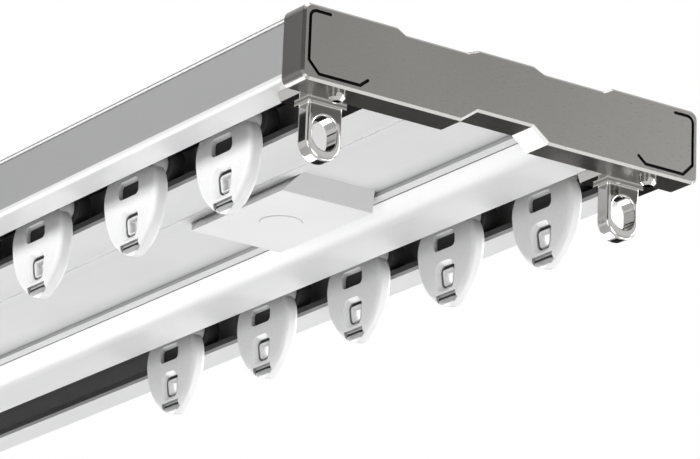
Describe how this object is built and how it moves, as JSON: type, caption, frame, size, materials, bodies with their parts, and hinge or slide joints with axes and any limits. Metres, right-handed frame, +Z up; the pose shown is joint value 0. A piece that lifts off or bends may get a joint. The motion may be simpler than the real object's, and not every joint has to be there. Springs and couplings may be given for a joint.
{
  "type": "curtain track",
  "caption": "Ceiling-mounted double curtain track: two slotted channels in one flat rail, end caps with eyelets, and roller gliders with hook holes.",
  "frame": {"origin": "centre of the rail's top face, which lies against the ceiling", "axes": "+X along the track to its front end, +Y to the right-hand row of gliders, +Z up to the ceiling"},
  "size_m": [0.5, 0.108, 0.0314],
  "materials": {
    "rail": "satin powder coat",
    "mute_strip": "matt",
    "end_cap": "satin nickel plate on a zinc casting",
    "end_stop": "polished nickel plate on a zinc casting",
    "set_screw": "polished",
    "cover_plate": "fine matt",
    "plug": "fine matt",
    "glider": "moulded, semi-gloss",
    "axle": "turned, blackened",
    "wheel": "smooth"
  },
  "bodies": {
    "track": {"rail": "rail", "mute_strip_right_outer": "mute_strip", "mute_strip_right_inner": "mute_strip", "mute_strip_left_outer": "mute_strip", "mute_strip_left_inner": "mute_strip", "end_cap_front": "end_cap", "end_stop_right_front": "end_stop", "end_stop_left_front": "end_stop", "set_screws_front": "set_screw", "cover_plate_front": "cover_plate", "plug_front": "plug", "end_cap_rear": "end_cap", "end_stop_right_rear": "end_stop", "end_stop_left_rear": "end_stop", "set_screws_rear": "set_screw", "cover_plate_rear": "cover_plate", "plug_rear": "plug"},
    "glider_right_1": {"glider_right_1_body": "glider", "glider_right_1_axle": "axle"},
    "wheels_right_1": {"glider_right_1_wheels": "wheel"},
    "glider_right_2": {"glider_right_2_body": "glider", "glider_right_2_axle": "axle"},
    "wheels_right_2": {"glider_right_2_wheels": "wheel"},
    "glider_right_3": {"glider_right_3_body": "glider", "glider_right_3_axle": "axle"},
    "wheels_right_3": {"glider_right_3_wheels": "wheel"},
    "glider_right_4": {"glider_right_4_body": "glider", "glider_right_4_axle": "axle"},
    "wheels_right_4": {"glider_right_4_wheels": "wheel"},
    "glider_right_5": {"glider_right_5_body": "glider", "glider_right_5_axle": "axle"},
    "wheels_right_5": {"glider_right_5_wheels": "wheel"},
    "glider_left_1": {"glider_left_1_body": "glider", "glider_left_1_axle": "axle"},
    "wheels_left_1": {"glider_left_1_wheels": "wheel"},
    "glider_left_2": {"glider_left_2_body": "glider", "glider_left_2_axle": "axle"},
    "wheels_left_2": {"glider_left_2_wheels": "wheel"},
    "glider_left_3": {"glider_left_3_body": "glider", "glider_left_3_axle": "axle"},
    "wheels_left_3": {"glider_left_3_wheels": "wheel"},
    "glider_left_4": {"glider_left_4_body": "glider", "glider_left_4_axle": "axle"},
    "wheels_left_4": {"glider_left_4_wheels": "wheel"},
    "glider_left_5": {"glider_left_5_body": "glider", "glider_left_5_axle": "axle"},
    "wheels_left_5": {"glider_left_5_wheels": "wheel"}
  },
  "joints": [
    {"name": "glider_right_1_slide", "type": "slide", "parent": "track", "child": "glider_right_1", "axis": [1, 0, 0], "range_m": [-0.014, 0.0059]},
    {"name": "wheels_right_1_roll", "type": "hinge", "parent": "glider_right_1", "child": "wheels_right_1", "pos_m": [0.2136, 0.0387, -0.0082], "axis": [0, 1, 0], "continuous": true},
    {"name": "glider_right_2_slide", "type": "slide", "parent": "track", "child": "glider_right_2", "axis": [1, 0, 0], "range_m": [-0.0146, 0.014]},
    {"name": "wheels_right_2_roll", "type": "hinge", "parent": "glider_right_2", "child": "wheels_right_2", "pos_m": [0.176, 0.0387, -0.0082], "axis": [0, 1, 0], "continuous": true},
    {"name": "glider_right_3_slide", "type": "slide", "parent": "track", "child": "glider_right_3", "axis": [1, 0, 0], "range_m": [-0.0166, 0.0146]},
    {"name": "wheels_right_3_roll", "type": "hinge", "parent": "glider_right_3", "child": "wheels_right_3", "pos_m": [0.1378, 0.0387, -0.0082], "axis": [0, 1, 0], "continuous": true},
    {"name": "glider_right_4_slide", "type": "slide", "parent": "track", "child": "glider_right_4", "axis": [1, 0, 0], "range_m": [-0.0189, 0.0166]},
    {"name": "wheels_right_4_roll", "type": "hinge", "parent": "glider_right_4", "child": "wheels_right_4", "pos_m": [0.0976, 0.0387, -0.0082], "axis": [0, 1, 0], "continuous": true},
    {"name": "glider_right_5_slide", "type": "slide", "parent": "track", "child": "glider_right_5", "axis": [1, 0, 0], "range_m": [-0.2746, 0.0189]},
    {"name": "wheels_right_5_roll", "type": "hinge", "parent": "glider_right_5", "child": "wheels_right_5", "pos_m": [0.0551, 0.0387, -0.0082], "axis": [0, 1, 0], "continuous": true},
    {"name": "glider_left_1_slide", "type": "slide", "parent": "track", "child": "glider_left_1", "axis": [1, 0, 0], "range_m": [-0.0156, 0.0213]},
    {"name": "wheels_left_1_roll", "type": "hinge", "parent": "glider_left_1", "child": "wheels_left_1", "pos_m": [0.1982, -0.0387, -0.0082], "axis": [0, 1, 0], "continuous": true},
    {"name": "glider_left_2_slide", "type": "slide", "parent": "track", "child": "glider_left_2", "axis": [1, 0, 0], "range_m": [-0.0181, 0.0156]},
    {"name": "wheels_left_2_roll", "type": "hinge", "parent": "glider_left_2", "child": "wheels_left_2", "pos_m": [0.159, -0.0387, -0.0082], "axis": [0, 1, 0], "continuous": true},
    {"name": "glider_left_3_slide", "type": "slide", "parent": "track", "child": "glider_left_3", "axis": [1, 0, 0], "range_m": [-0.0182, 0.0181]},
    {"name": "wheels_left_3_roll", "type": "hinge", "parent": "glider_left_3", "child": "wheels_left_3", "pos_m": [0.1173, -0.0387, -0.0082], "axis": [0, 1, 0], "continuous": true},
    {"name": "glider_left_4_slide", "type": "slide", "parent": "track", "child": "glider_left_4", "axis": [1, 0, 0], "range_m": [-0.0189, 0.0182]},
    {"name": "wheels_left_4_roll", "type": "hinge", "parent": "glider_left_4", "child": "wheels_left_4", "pos_m": [0.0755, -0.0387, -0.0082], "axis": [0, 1, 0], "continuous": true},
    {"name": "glider_left_5_slide", "type": "slide", "parent": "track", "child": "glider_left_5", "axis": [1, 0, 0], "range_m": [-0.2525, 0.0189]},
    {"name": "wheels_left_5_roll", "type": "hinge", "parent": "glider_left_5", "child": "wheels_left_5", "pos_m": [0.033, -0.0387, -0.0082], "axis": [0, 1, 0], "continuous": true}
  ],
  "couplings": [
    {"joint": "wheels_right_1_roll", "follows": "glider_right_1_slide", "rad_per_m": 232.56},
    {"joint": "wheels_right_2_roll", "follows": "glider_right_2_slide", "rad_per_m": 232.56},
    {"joint": "wheels_right_3_roll", "follows": "glider_right_3_slide", "rad_per_m": 232.56},
    {"joint": "wheels_right_4_roll", "follows": "glider_right_4_slide", "rad_per_m": 232.56},
    {"joint": "wheels_right_5_roll", "follows": "glider_right_5_slide", "rad_per_m": 232.56},
    {"joint": "wheels_left_1_roll", "follows": "glider_left_1_slide", "rad_per_m": 232.56},
    {"joint": "wheels_left_2_roll", "follows": "glider_left_2_slide", "rad_per_m": 232.56},
    {"joint": "wheels_left_3_roll", "follows": "glider_left_3_slide", "rad_per_m": 232.56},
    {"joint": "wheels_left_4_roll", "follows": "glider_left_4_slide", "rad_per_m": 232.56},
    {"joint": "wheels_left_5_roll", "follows": "glider_left_5_slide", "rad_per_m": 232.56}
  ]
}
